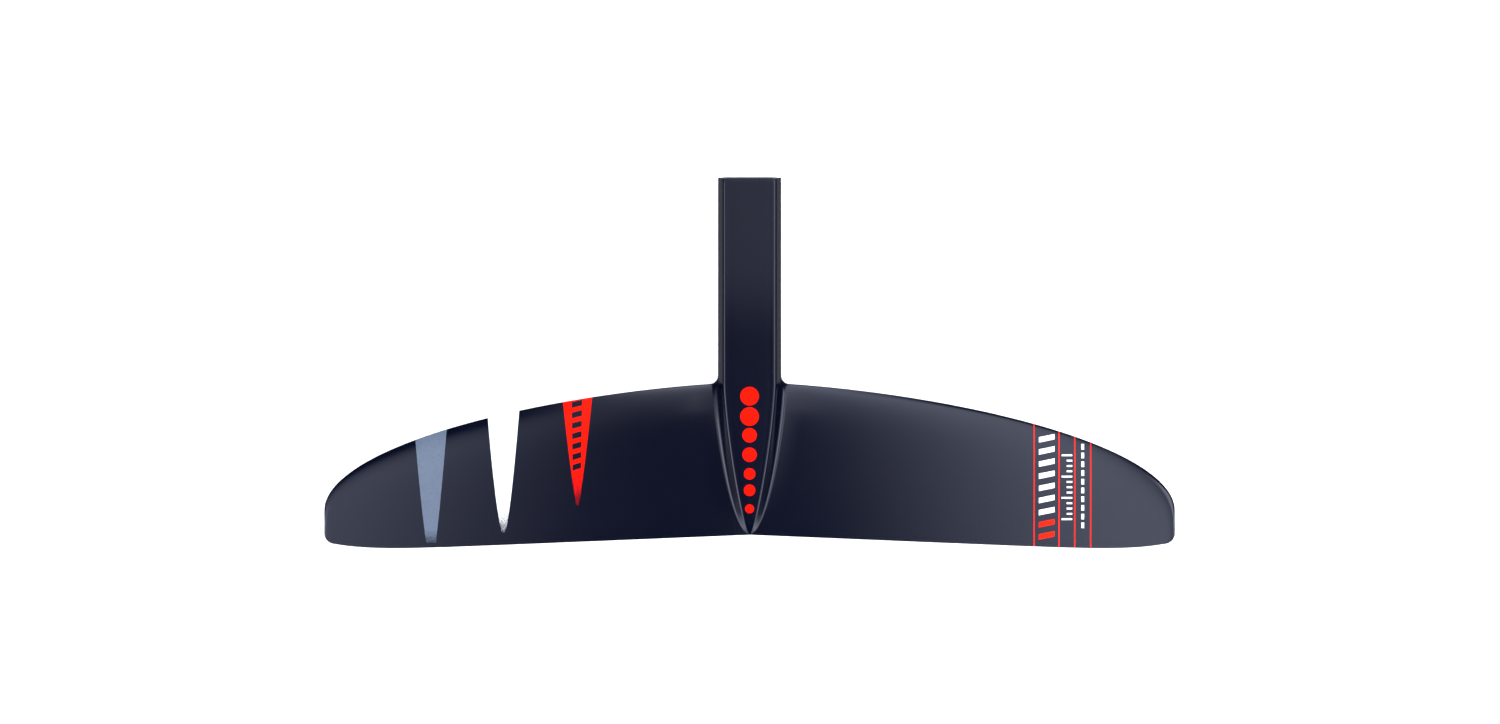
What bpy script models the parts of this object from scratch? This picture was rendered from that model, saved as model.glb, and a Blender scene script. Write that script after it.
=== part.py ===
"""Hydrofoil tail wing: a 400 mm stabiliser moulded in one piece with the socket that slips
over the end of a fuselage. Two shells close over foam cores, a carbon spar and the socket tube.

Metres. X runs along the span, +Y points forward out of the socket, Z is up. The origin is the
middle of the face that stops the fuselage inside the socket."""

import math

import bmesh
import bpy
from mathutils import Vector

# Plan of the wing, seen from above
HALF_SPAN = 0.2000
ROOT_EDGE_Y = -0.0120          # leading edge at the root, behind the socket's stop
NOSE_RISE = 0.0009             # crown of the leading edge over the middle
TIP_SWEEP = 0.0592             # how far the leading edge falls back at the tip
NOSE_POWER, NOSE_FALL = 1.55, 0.514
ROOT_CHORD = 0.0707
TAIL_SWEEP = 0.0418            # fall of the trailing edge for each metre of span
TAIL_RETURN, TAIL_POWER = 0.0050, 12
TIP_CORNER = 0.0050            # radius of the tip's rear corner

# Section of the wing
THICKNESS_ROOT, THICKNESS_TIP = 0.105, 0.095
TAIL_EDGE_HALF = 0.00035       # half the thickness of the blunt trailing edge
DROOP_START = 0.0150

# Socket body and the fairing behind it
BODY_WIDTH, BODY_HEIGHT = 0.0297, 0.0250
RIDGE_HALF = 0.0125            # half width of the body's flat top, out to the ridge
RIDGE_ROUND = 0.0011
RIDGE_END = 0.0001             # half width of the ridge where it runs out at the trailing edge
MOUTH_Y = 0.0850
BODY_TAIL_WIDTH = 0.0030
ROOT_FILLET, FILLET_SHARE = 0.0040, 0.50   # the radius, and the most of the wall's height it takes
PLAN_TAPER = (2.5, 0.62)       # powers that draw the fairing's side, ridge and height
RIDGE_TAPER = (1.35, 0.79)
HEIGHT_TAPER = (1.9, 0.80)

# Laminates, gaps and bonding lines
SKIN = 0.0008
PARTING = 0.0003
GAP = 0.0003
TAIL_CORE_END, TAIL_CORE_CORNER = 0.87, 0.0005
SLEEVE_WALL, LINER_WALL = 0.0032, 0.0008
SLEEVE_BACK_Y = -0.0100
STOP_STEP = 0.0010

# Stations along the chord, as fractions from the leading edge
ROVING = (0.016, 0.054)
FRONT_CORE = (0.061, 0.274)
SPAR = (0.281, 0.419)
REAR_CORE = (0.426, 0.772)
TAIL_STRIP = (0.779, 0.900)
ROVING_END, SPAR_END, CORE_END, STRIP_END = 0.150, 0.158, 0.166, 0.120
CAP_SHARE, CAP_MOST = 0.30, 0.0008

# Clamp screws, M6, each in a threaded bush in the socket's floor
SCREW_YS = {"front": 0.060, "rear": 0.025}
SCREW_R, SCREW_LENGTH = 0.0030, 0.0050
SCREW_DROP = 0.0002            # the tip lies this far below the socket's floor
KEY_WIDTH, KEY_DEPTH = 0.0030, 0.0026
BUSH_R, BUSH_BORE_R, BUSH_INSET = 0.0050, 0.0031, 0.0001
BUSH_EASE = 0.0003             # chamfer at both ends of the bush's bore
POINT_CHAMFER = 0.0004

ROWS, WING_COLUMNS, FILLET_STEPS, CORNER_STEPS = 15, 15, 3, 3
ROUND_SIDES = 32


def clear_scene():
    for item in list(bpy.data.objects):
        bpy.data.objects.remove(item, do_unlink=True)


def material(name, colour, roughness, metallic=0.0):
    made = bpy.data.materials.new(name)
    made.use_nodes = True
    shader = made.node_tree.nodes["Principled BSDF"]
    shader.inputs["Base Color"].default_value = (*colour, 1.0)
    shader.inputs["Roughness"].default_value = roughness
    shader.inputs["Metallic"].default_value = metallic
    made.diffuse_color = (*colour, 1.0)
    return made


def add_object(name, mesh, finish, sharp_degrees=35):
    mesh.materials.append(finish)
    mesh.shade_smooth()
    mesh.set_sharp_from_angle(angle=math.radians(sharp_degrees))
    made = bpy.data.objects.new(name, mesh)
    bpy.context.scene.collection.objects.link(made)
    return made


def between(low, high, steps):
    return [low + (high - low) * i / steps for i in range(steps + 1)]


# ---------------------------------------------------------------- the wing's shape

def leading_edge(x):
    share = min(abs(x) / HALF_SPAN, 1.0)
    reach = (1 - share**NOSE_POWER) ** NOSE_FALL
    return ROOT_EDGE_Y - TIP_SWEEP + (TIP_SWEEP + NOSE_RISE) * reach


def trailing_edge(x):
    x = min(abs(x), HALF_SPAN)
    corner_start = HALF_SPAN - TIP_CORNER
    straight = min(x, corner_start)
    y = ROOT_EDGE_Y - ROOT_CHORD - TAIL_SWEEP * straight
    y += TAIL_RETURN * (straight / HALF_SPAN) ** TAIL_POWER
    into = max(x - corner_start, 0.0)
    return y + TIP_CORNER - math.sqrt(max(TIP_CORNER**2 - into**2, 0.0))


def chord(x):
    return leading_edge(x) - trailing_edge(x)


def half_thickness(x, s):
    """Half the thickness at fraction s of the chord: a four-digit section with a blunt tail."""
    ratio = THICKNESS_ROOT + (THICKNESS_TIP - THICKNESS_ROOT) * abs(x) / HALF_SPAN
    shape = 0.2969 * math.sqrt(s) - 0.1260 * s - 0.3516 * s**2 + 0.2843 * s**3 - 0.1036 * s**4
    return 5 * ratio * shape * chord(x) + TAIL_EDGE_HALF * s


def droop_share(x):
    return (max(abs(x) - DROOP_START, 0.0) / (HALF_SPAN - DROOP_START)) ** 2


def most_droop():
    """The droop that brings the tips' undersides level with the body's, and no lower."""
    allowed = []
    for x in between(0.85 * HALF_SPAN, HALF_SPAN, 60):
        deepest = max(half_thickness(x, s) for s in between(0.1, 0.6, 50))
        allowed.append((BODY_HEIGHT / 2 - PARTING / 2 - deepest) / droop_share(x))
    return min(allowed)


def camber_z(x):
    """Height of the parting plane."""
    return -DROOP * droop_share(x)


def chord_point(x, s):
    return leading_edge(x) - s * chord(x)


DROOP = most_droop()


# ---------------------------------------------------------------- the body's shape

def tail_share(y):
    """0 at the root's leading edge and ahead of it, 1 at the trailing edge."""
    return min(max((ROOT_EDGE_Y - y) / ROOT_CHORD, 0.0), 1.0)


def tapered(y, full, end, powers):
    """A measure that is full along the stub and falls to end at the trailing edge."""
    inner, outer = powers
    return end + (full - end) * (1 - tail_share(y) ** inner) ** outer


def body_half_width(y):
    """Half width at the parting plane."""
    return tapered(y, BODY_WIDTH / 2, BODY_TAIL_WIDTH / 2, PLAN_TAPER)


def ridge_half_width(y):
    return tapered(y, RIDGE_HALF, RIDGE_END, RIDGE_TAPER)


def body_half_height(y):
    return tapered(y, BODY_HEIGHT / 2, PARTING / 2 + TAIL_EDGE_HALF + RIDGE_END, HEIGHT_TAPER)


def wall_lean(y):
    """Sideways slope of the drafted side wall."""
    return (body_half_width(y) - ridge_half_width(y)) / body_half_height(y)


def wall_x(y, z):
    """Half width of the side wall at height z."""
    return ridge_half_width(y) + wall_lean(y) * (body_half_height(y) - z)


def wall_normal(y, z, rise):
    """Outward normal of the side wall, its upward part scaled by rise."""
    step = 0.00005
    back = (wall_x(y - step, z) - wall_x(y + step, z)) / (2 * step)
    return Vector((1.0, back, wall_lean(y) * rise)).normalized()


def root_fillet(y, wing_z):
    return min(ROOT_FILLET, FILLET_SHARE * (body_half_height(y) - wing_z))


# ---------------------------------------------------------------- the two shells

def nose_normal(x, s):
    """Outward normal of the section as (forward, up), never leaning back."""
    step = 1e-4
    ahead, behind = max(s - step, 0.0), min(s + step, 1.0)
    along = (behind - ahead) * chord(x)
    rise = half_thickness(x, behind) - half_thickness(x, ahead)
    forward, up = max(rise, 0.0), along
    if s == 0.0:
        forward, up = 1.0, 0.0
    size = math.hypot(forward, up)
    return forward / size, up / size


def body_half_row(y, foot_z):
    """Outer and inner points from the foot of the side wall up to the middle of the top."""
    ridge, top = ridge_half_width(y), body_half_height(y)
    wall = min(SKIN, 0.6 * (top - foot_z))
    lean = math.atan(wall_lean(y))
    radius = min(RIDGE_ROUND, 0.6 * ridge, 0.5 * (top - foot_z))
    hollow = max(radius - wall, 0.0)
    centre_x, centre_z = ridge - radius * math.tan((math.pi / 2 - lean) / 2), top - radius
    foot = wall_x(y, foot_z)
    outer, inner = [(foot, y, foot_z)], [(foot - wall / math.cos(lean), y, foot_z)]
    for turn in between(lean, math.pi / 2, CORNER_STEPS):
        across, up = math.cos(turn), math.sin(turn)
        outer.append((centre_x + radius * across, y, centre_z + radius * up))
        inner.append((centre_x + hollow * across, y, min(centre_z + hollow * up, top - wall)))
    outer.append((0.0, y, top))
    inner.append((0.0, y, top - wall))
    return outer, inner


def wing_half_row(s):
    """Outer and inner points of one chordwise station, from the tip in to the middle of the body."""
    low = PARTING / 2
    x = BODY_WIDTH / 2
    y = chord_point(x, s)
    for _ in range(12):
        contact = Vector((x, chord_point(x, s), low + half_thickness(x, s)))
        radius = root_fillet(y, contact.z)
        forward, up = nose_normal(x, s)
        to_wing = Vector((0.0, -forward, -up))
        centre = contact - radius * to_wing
        to_wall = -wall_normal(y, centre.z, up)
        touch = centre + radius * to_wall
        y = touch.y
        x += wall_x(y, touch.z) - touch.x
    outer, inner = [], []
    for i in range(WING_COLUMNS):
        share = math.sin(math.pi / 2 * (1 - i / WING_COLUMNS) ** 0.9)
        place = x + (HALF_SPAN - x) * share
        thick, middle = half_thickness(place, s), camber_z(place)
        outer.append((place, chord_point(place, s), middle + low + thick))
        inner.append((place, chord_point(place, s), middle + low + max(thick - SKIN, 0.0)))
    body_outer, body_inner = body_half_row(touch.y, touch.z)
    wall = body_outer[0][0] - body_inner[0][0]
    for i in range(FILLET_STEPS):
        share = i / FILLET_STEPS
        point = centre + radius * to_wing.slerp(to_wall, share)
        outer.append(tuple(point))
        inner.append((point.x - wall * share, point.y, max(point.z - SKIN * (1 - share), low)))
    return outer + body_outer, inner + body_inner


def both_hands(half):
    """A row from the left tip to the right one, from its half. None marks a point that isn't there."""
    return half + [point and (-point[0], point[1], point[2]) for point in reversed(half[:-1])]


def shell_rows():
    """Rows of outer and inner points from the mouth of the socket to the trailing edge."""
    low = PARTING / 2
    stations = [0.0, 0.0015] + [1 - math.cos(math.pi / 2 * i / ROWS) for i in range(1, ROWS + 1)]
    wing = [wing_half_row(s) for s in stations]
    blank = [None] * (WING_COLUMNS + FILLET_STEPS)
    first_y = wing[0][0][len(blank)][1]
    rows = []
    for y in between(MOUTH_Y, first_y, 5)[:-1]:
        outer, inner = body_half_row(y, low)
        rows.append((blank + outer, blank + inner))
    rows += wing
    return [both_hands(outer) for outer, inner in rows], [both_hands(inner) for outer, inner in rows]


def closed_lattice(name, outer_rows, inner_rows):
    """A closed mesh from two matching grids of points, joined around their border. None is a hole."""
    mesh = bmesh.new()
    grids = []
    for rows in (outer_rows, inner_rows):
        grids.append([[p and mesh.verts.new(p) for p in row] for row in rows])
    cells = [
        ((r, c), (r + 1, c), (r + 1, c + 1), (r, c + 1))
        for r in range(len(outer_rows) - 1)
        for c in range(len(outer_rows[0]) - 1)
    ]
    cells = [cell for cell in cells if all(outer_rows[r][c] for r, c in cell)]
    border = {}
    for cell in cells:
        for a, b in zip(cell, cell[1:] + cell[:1]):
            if border.pop((b, a), None) is None:
                border[a, b] = True
    outer, inner = grids
    for cell in cells:
        mesh.faces.new([outer[r][c] for r, c in cell])
        mesh.faces.new([inner[r][c] for r, c in reversed(cell)])
    for (ra, ca), (rb, cb) in border:
        mesh.faces.new([outer[rb][cb], outer[ra][ca], inner[ra][ca], inner[rb][cb]])
    bmesh.ops.remove_doubles(mesh, verts=mesh.verts, dist=1e-7)
    bmesh.ops.dissolve_degenerate(mesh, edges=mesh.edges, dist=1e-7)
    bmesh.ops.triangulate(mesh, faces=[f for f in mesh.faces if len(f.verts) > 4])
    bmesh.ops.recalc_face_normals(mesh, faces=mesh.faces)
    made = bpy.data.meshes.new(name)
    mesh.to_mesh(made)
    mesh.free()
    return made


def half_shell(name, side, finish):
    """The upper shell (side 1) or the lower one (side -1), which shares its plan and its droop."""
    outer, inner = shell_rows()

    def turned(rows):
        placed = []
        for row in rows:
            placed.append(
                [p and (p[0], p[1], camber_z(p[0]) + side * (p[2] - camber_z(p[0]))) for p in row]
            )
        return placed

    return add_object(name, closed_lattice(name, turned(outer), turned(inner)), finish, 40)


# ---------------------------------------------------------------- inside the wing

def core_half(x, s):
    """Half height left for a core between the shells, with the bonding gap."""
    return PARTING / 2 + half_thickness(x, s) - SKIN - GAP


def cap_depth(x, s):
    return min(CAP_MOST, CAP_SHARE * core_half(x, s))


def inboard_x(y):
    """Where a wing core starts: just outside the core of the body's tail."""
    return body_half_width(y) - SKIN


def span_places(hand, end, s, steps):
    """Places along the span: through the body for hand 0, or from its side out to one tip."""
    if hand == 0:
        return between(-end, end, 2 * steps)
    start = inboard_x(chord_point(BODY_WIDTH / 2, s))
    return [hand * x for x in between(start, end, steps)]


def wing_filler(name, hand, end, stations, top, bottom, finish, steps=(12, 4)):
    """A solid inside the wing between two chord stations, top and bottom giving its heights."""
    upper, lower = [], []
    for s in between(*stations, steps[1]):
        places = span_places(hand, end, s, steps[0])
        upper.append([(x, chord_point(x, s), camber_z(x) + top(x, s)) for x in places])
        lower.append([(x, chord_point(x, s), camber_z(x) + bottom(x, s)) for x in places])
    return add_object(name, closed_lattice(name, upper, lower), finish)


def add_wing_fillers(foam, carbon, glass):
    def low(height):
        return lambda x, s: -height(x, s)

    def cap_inner(x, s):
        return core_half(x, s) - cap_depth(x, s)

    def web(x, s):
        return core_half(x, s) - cap_depth(x, s) - GAP

    full_depth = [
        ("leading_edge_roving", ROVING_END, ROVING, carbon, (12, 2)),
        ("front_core", CORE_END, FRONT_CORE, foam, (12, 4)),
        ("rear_core", CORE_END, REAR_CORE, foam, (12, 4)),
        ("trailing_edge_strip", STRIP_END, TAIL_STRIP, glass, (10, 2)),
    ]
    for hand, word in ((-1, "left"), (1, "right")):
        for name, end, stations, finish, steps in full_depth:
            wing_filler(f"{word}_{name}", hand, end, stations, core_half, low(core_half), finish, steps)
    wing_filler("upper_spar_cap", 0, SPAR_END, SPAR, core_half, cap_inner, carbon, (12, 2))
    wing_filler("lower_spar_cap", 0, SPAR_END, SPAR, low(cap_inner), low(core_half), carbon, (12, 2))
    wing_filler("spar_web", 0, SPAR_END, SPAR, web, low(web), foam, (12, 2))


# ---------------------------------------------------------------- inside the body

def box_shape(inset, corner):
    """A section inside the stub's: half widths at the parting plane and the ridge, half height, corner."""
    width = BODY_WIDTH / 2 - inset
    return width, width, BODY_HEIGHT / 2 - inset, corner


def body_shape(y, inset, corner):
    """The body's section at y moved inwards, as box_shape gives it."""
    lean, top = wall_lean(y), body_half_height(y) - inset
    base = body_half_width(y) - inset * math.hypot(1, lean)
    return base, base - lean * top, top, corner


def shape_loop(mesh, shape, y, steps=4):
    """A closed ring of points around a section, anticlockwise seen from the front."""
    base, ridge, top, corner = shape
    lean = math.atan2(base - ridge, top)
    centre_x, centre_z = ridge - corner * math.tan((math.pi / 2 - lean) / 2), top - corner
    turns = between(lean, math.pi / 2, steps)
    arc = [(centre_x + corner * math.cos(t), centre_z + corner * math.sin(t)) for t in turns]
    upper = [(base, 0.0)] + arc + [(-x, z) for x, z in reversed(arc)]
    return [mesh.verts.new((x, y, z)) for x, z in upper + [(-x, -z) for x, z in upper]]


def bridge(mesh, first, second):
    count = len(first)
    for i in range(count):
        j = (i + 1) % count
        mesh.faces.new([first[i], first[j], second[j], second[i]])


def finish_mesh(mesh, name):
    bmesh.ops.recalc_face_normals(mesh, faces=mesh.faces)
    made = bpy.data.meshes.new(name)
    mesh.to_mesh(made)
    mesh.free()
    return made


def tube(name, outer, inner, front_y, back_y, finish):
    """A tube along the body between two sections."""
    mesh = bmesh.new()
    loops = [
        shape_loop(mesh, outer, front_y),
        shape_loop(mesh, outer, back_y),
        shape_loop(mesh, inner, back_y),
        shape_loop(mesh, inner, front_y),
    ]
    for first, second in zip(loops, loops[1:] + loops[:1]):
        bridge(mesh, first, second)
    return add_object(name, finish_mesh(mesh, name), finish)


SLEEVE_INSET = SKIN + GAP
LINER_INSET = SLEEVE_INSET + SLEEVE_WALL + GAP
BORE_INSET = LINER_INSET + LINER_WALL
BORE_CORNER = 0.0006
FLOOR_Z = -(BODY_HEIGHT / 2 - BORE_INSET)


def stepped_block(name, sections, finish):
    """A solid along the body through its sections, each (shape, y)."""
    mesh = bmesh.new()
    loops = [shape_loop(mesh, shape, y) for shape, y in sections]
    for first, second in zip(loops, loops[1:]):
        bridge(mesh, first, second)
    mesh.faces.new(loops[0])
    mesh.faces.new(loops[-1])
    return add_object(name, finish_mesh(mesh, name), finish)


def add_end_stop(finish):
    """The block that closes the socket. Its raised face, inside the liner, is the fuselage's stop."""
    in_sleeve = box_shape(SLEEVE_INSET + SLEEVE_WALL + GAP, BORE_CORNER)
    in_liner = box_shape(BORE_INSET + GAP, BORE_CORNER)
    steps = [(in_liner, 0.0), (in_liner, -STOP_STEP), (in_sleeve, -STOP_STEP), (in_sleeve, SLEEVE_BACK_Y)]
    stepped_block("socket_end_stop", steps, finish)


def add_tail_core(finish):
    """The block behind the socket, tapered with the fairing and tunnelled for the spar."""
    front_y, back_y = SLEEVE_BACK_Y - GAP, ROOT_EDGE_Y - TAIL_CORE_END * ROOT_CHORD
    places = between(front_y, back_y, 10)
    sections = [(body_shape(y, SKIN + GAP, TAIL_CORE_CORNER), y) for y in places]
    core = stepped_block("tail_core", sections, finish)
    front, back = chord_point(0.0, SPAR[0]) + GAP, chord_point(BODY_WIDTH / 2, SPAR[1]) - GAP
    height = 2 * (core_half(0.0, (SPAR[0] + SPAR[1]) / 2) + GAP)
    size = (BODY_WIDTH * 2, front - back, height)
    cut(core, block("spar_tunnel_cutter", size, (0, (front + back) / 2, 0)))


# ---------------------------------------------------------------- cutters and round pieces

def block(name, size, centre):
    mesh = bmesh.new()
    bmesh.ops.create_cube(mesh, size=1.0)
    bmesh.ops.scale(mesh, vec=size, verts=mesh.verts)
    bmesh.ops.translate(mesh, vec=centre, verts=mesh.verts)
    made = bpy.data.objects.new(name, finish_mesh(mesh, name))
    bpy.context.scene.collection.objects.link(made)
    return made


def turned_mesh(name, profile, sides=ROUND_SIDES):
    """A closed solid turned about Z from a closed outline of (radius, z) points."""
    mesh = bmesh.new()
    rings = []
    for radius, z in profile:
        if radius == 0.0:
            rings.append([mesh.verts.new((0.0, 0.0, z))])
            continue
        turns = [2 * math.pi * (i + 0.5) / sides for i in range(sides)]
        rings.append([mesh.verts.new((radius * math.cos(t), radius * math.sin(t), z)) for t in turns])
    for first, second in zip(rings, rings[1:] + rings[:1]):
        if len(first) == 1 and len(second) == 1:
            continue
        for i in range(sides):
            j = (i + 1) % sides
            corners = [first[i % len(first)], first[j % len(first)]]
            corners += [second[j % len(second)], second[i % len(second)]]
            mesh.faces.new(list(dict.fromkeys(corners)))
    return finish_mesh(mesh, name)


def cylinder_cutter(name, radius, low, high, sides):
    outline = [(0.0, low), (radius, low), (radius, high), (0.0, high)]
    made = bpy.data.objects.new(name, turned_mesh(name, outline, sides))
    bpy.context.scene.collection.objects.link(made)
    return made


def cut(target, cutter):
    cutter.hide_render = True
    cutter.display_type = "WIRE"
    boolean = target.modifiers.new(f"cut by {cutter.name}", "BOOLEAN")
    boolean.operation = "DIFFERENCE"
    boolean.object = cutter


def add_clamp_screw(place, y, steel, bushing, walls):
    """A flat-point screw with a hexagon socket, in a bush that passes through the socket's floor."""
    outside_z = -BODY_HEIGHT / 2
    drill = cylinder_cutter(f"{place}_bush_drill", BUSH_R + GAP, -0.004, 0.008, ROUND_SIDES)
    drill.location = (0.0, y, outside_z)
    for wall in walls:
        cut(wall, drill)

    length = BORE_INSET - 2 * BUSH_INSET
    eased = BUSH_BORE_R + BUSH_EASE
    bore = [(eased, length), (BUSH_BORE_R, length - BUSH_EASE), (BUSH_BORE_R, BUSH_EASE), (eased, 0.0)]
    outline = [(BUSH_R, 0.0), (BUSH_R, length), *bore]
    name = f"{place}_screw_bush"
    bush = add_object(name, turned_mesh(name, outline), bushing)
    bush.location = (0.0, y, outside_z + BUSH_INSET)

    low = -SCREW_LENGTH
    side = [(SCREW_R, low + POINT_CHAMFER), (SCREW_R, -POINT_CHAMFER)]
    point = SCREW_R - POINT_CHAMFER
    outline = [(0.0, low), (point, low), *side, (point, 0.0), (0.0, 0.0)]
    name = f"{place}_clamp_screw"
    screw = add_object(name, turned_mesh(name, outline), steel)
    screw.location = (0.0, y, FLOOR_Z - SCREW_DROP)
    key = cylinder_cutter(f"{place}_key_cutter", KEY_WIDTH / math.sqrt(3), -0.001, KEY_DEPTH, 6)
    key.parent = screw
    key.location = (0.0, 0.0, low)
    cut(screw, key)


def main():
    clear_scene()
    lacquer = material("satin_navy_lacquer", (0.021, 0.024, 0.040), 0.38)
    carbon = material("carbon_laminate", (0.018, 0.019, 0.021), 0.45)
    glass = material("glass_laminate", (0.46, 0.55, 0.42), 0.40)
    foam = material("structural_foam", (0.72, 0.66, 0.50), 0.85)
    steel = material("stainless_steel", (0.56, 0.57, 0.58), 0.28, 1.0)
    bronze = material("bush_bronze", (0.50, 0.33, 0.15), 0.32, 1.0)

    half_shell("upper_skin", 1, lacquer)
    lower = half_shell("lower_skin", -1, lacquer)
    add_wing_fillers(foam, carbon, glass)
    sleeve_outside = body_shape(MOUTH_Y, SLEEVE_INSET, BORE_CORNER)
    sleeve_inside = box_shape(SLEEVE_INSET + SLEEVE_WALL, BORE_CORNER)
    liner_outside, liner_inside = box_shape(LINER_INSET, BORE_CORNER), box_shape(BORE_INSET, BORE_CORNER)
    sleeve = tube("socket_sleeve", sleeve_outside, sleeve_inside, MOUTH_Y, SLEEVE_BACK_Y, carbon)
    liner = tube("socket_liner", liner_outside, liner_inside, MOUTH_Y, GAP, glass)
    add_end_stop(carbon)
    add_tail_core(foam)
    for place, y in SCREW_YS.items():
        add_clamp_screw(place, y, steel, bronze, (lower, sleeve, liner))


main()
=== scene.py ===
"""Looks of the hydrofoil tail wing: smooth lacquered shells, printed marks, and the layered socket.

Metres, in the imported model's own frame: X along the span, +Y forward out of the socket, Z up."""

import math

import bmesh
import bpy
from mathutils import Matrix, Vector


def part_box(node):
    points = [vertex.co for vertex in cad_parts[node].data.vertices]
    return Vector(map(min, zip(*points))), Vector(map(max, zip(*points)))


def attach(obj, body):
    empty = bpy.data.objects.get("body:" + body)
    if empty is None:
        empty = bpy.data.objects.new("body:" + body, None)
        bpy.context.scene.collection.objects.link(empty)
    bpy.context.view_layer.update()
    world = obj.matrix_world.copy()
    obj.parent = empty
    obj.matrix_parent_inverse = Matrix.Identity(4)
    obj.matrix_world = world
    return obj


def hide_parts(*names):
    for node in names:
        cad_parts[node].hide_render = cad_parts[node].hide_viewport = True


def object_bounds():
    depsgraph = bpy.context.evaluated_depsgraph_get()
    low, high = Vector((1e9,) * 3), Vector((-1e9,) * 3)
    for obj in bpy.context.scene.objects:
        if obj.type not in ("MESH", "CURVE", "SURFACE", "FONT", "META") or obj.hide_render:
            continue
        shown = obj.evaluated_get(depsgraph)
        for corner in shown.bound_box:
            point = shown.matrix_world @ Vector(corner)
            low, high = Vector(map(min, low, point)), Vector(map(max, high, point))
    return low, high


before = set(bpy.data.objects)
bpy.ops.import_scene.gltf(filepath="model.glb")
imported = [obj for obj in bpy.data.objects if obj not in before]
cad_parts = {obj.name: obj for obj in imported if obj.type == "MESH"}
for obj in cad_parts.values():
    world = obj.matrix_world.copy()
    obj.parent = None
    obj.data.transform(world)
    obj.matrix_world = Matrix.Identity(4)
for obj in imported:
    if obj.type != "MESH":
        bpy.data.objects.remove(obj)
CAD_LOW, CAD_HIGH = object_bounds()

MM = 0.001

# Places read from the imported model
HALF_SPAN = CAD_HIGH[0]
MOUTH_Y = CAD_HIGH[1]
BODY_HEIGHT = 2 * CAD_HIGH[2]
SLEEVE_BACK_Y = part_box("socket_sleeve")[0][1]
STOP_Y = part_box("socket_end_stop")[1][1]

# Plan of the wing
ROOT_EDGE_Y = -12.0 * MM
NOSE_RISE, TIP_SWEEP = 0.9 * MM, 59.2 * MM
NOSE_POWER, NOSE_FALL = 1.55, 0.514
ROOT_CHORD = 70.7 * MM
TAIL_SWEEP = 0.0418
TAIL_RETURN, TAIL_POWER = 5.0 * MM, 12
TIP_CORNER = 5.0 * MM

# Section of the wing, and the body's taper into its fairing
THICKNESS_ROOT, THICKNESS_TIP = 0.105, 0.095
TAIL_EDGE_HALF = 0.35 * MM
TIP_EDGE_ROUND = 0.35 * MM
DROOP_START = 15.0 * MM
BODY_WIDTH = 29.7 * MM
RIDGE_HALF = 12.5 * MM         # half width of the body's flat top, out to the ridge
RIDGE_ROUND = 1.5 * MM
RIDGE_END = 0.1 * MM           # half width of the ridge where it runs out at the trailing edge
TOP_CROWN = 0.05 * MM
BODY_TAIL_WIDTH = 3.0 * MM
ROOT_FILLET = 4.0 * MM
FILLET_SHARE = 0.50            # the most of the side wall's height that the fillet takes
PLAN_TAPER = (2.5, 0.62)       # powers that draw the fairing's side, ridge and height
RIDGE_TAPER = (1.35, 0.79)
HEIGHT_TAPER = (1.9, 0.80)
CAD_PARTING = 0.3 * MM
SEAM = 0.05 * MM               # half the open seam where the two shells meet
SHELL_SHARP = 40               # edges of a shell sharper than this, in degrees, are shaded sharp
SKIN = 0.8 * MM
MOUTH_EASE = 0.45 * MM

# The upper shell stops short of the mouth, and at the mouth's corners by more
MOUTH_TRIM, CORNER_TRIM = 0.35 * MM, 0.55 * MM
TRIM_CORNER_X, TRIM_CORNER_WIDTH = 10.2 * MM, 1.2 * MM
TRIM_START, TRIM_LENGTH = 3.0 * MM, 2.5 * MM   # it sets in this far behind the mouth, over this length

ROWS, WING_COLUMNS, FILLET_STEPS, CORNER_STEPS, BODY_ROWS = 54, 54, 8, 8, 14
COLUMN_POWER = 0.9             # crowds the wing's columns towards the tips
TOP_SHARES, CROWN_POWER = (0.92, 0.8, 0.6, 0.3, 0.0), 7
BODY_START = 3 * MM            # the even rows of the body start this far behind the mouth
ROOT_ROWS = (0.8 * MM, 0.15 * MM)   # and two more rows stand this far ahead of the root
SKIN_SHARE, ROUND_SHARE, RIDGE_SHARE = 0.6, 0.5, 0.6   # the most of a wall or ridge that each takes
FILLET_ROUNDS = 12             # rounds in which the fillet settles against both surfaces
CLOSE = 1e-7                   # points nearer than this are one point


# ---------------------------------------------------------------- camera, floor and light

VIEW_WIDTH = 703.8 * MM        # what the photograph's width spans at the part
CAMERA_PLACE = (0.19 * MM, -1.6 * MM, 5.0)

# The sweep: a flat floor, then a bend up into a wall, in metres
FLOOR_RADIUS, BEND_RADIUS, WALL_TOP = 8.0, 2.0, 4.0
FLOOR_GAP = 0.05 * MM
SWEEP_COLOUR, SWEEP_GLOW = (0.86, 0.87, 0.88, 1), 0.60

OVERHEAD_STRENGTH, OVERHEAD_SPREAD, OVERHEAD_COLOUR = 1.5, math.radians(80), (0.97, 0.98, 1.0)

# The lamp over the body's front end
LAMP_SIZE, LAMP_PLACE, LAMP_RADIANCE = (0.10, 0.15), (0.0, 0.105, 0.42), 0.61

# Each soft panel of the light tent: its radiance, then where its light rises and falls across X
# and across Y. Places are components of the direction seen from the part, and each pair is the
# start and the end of a soft edge.
PANELS = {
    "right": (2.7, (0.00, 0.27, 0.28, 0.66), (-0.75, -0.45, 0.60, 0.92)),
    "right strip": (5.2, (0.52, 0.62, 0.66, 0.95), (-0.90, -0.60, 0.30, 0.50)),
    "left": (1.65, (-1.00, -0.80, -0.32, -0.055), (-0.75, -0.45, 0.05, 0.50)),
    "left strip": (4.3, (-0.95, -0.66, -0.62, -0.52), (-0.90, -0.60, -0.10, 0.10)),
}
PANEL_FOOT = (-0.15, 0.05)     # the soft lower edge of all panels, as a component along Z
TENT_SHADE = 0.01
TENT_COLOUR = (0.90, 0.93, 1.0, 1)

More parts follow.
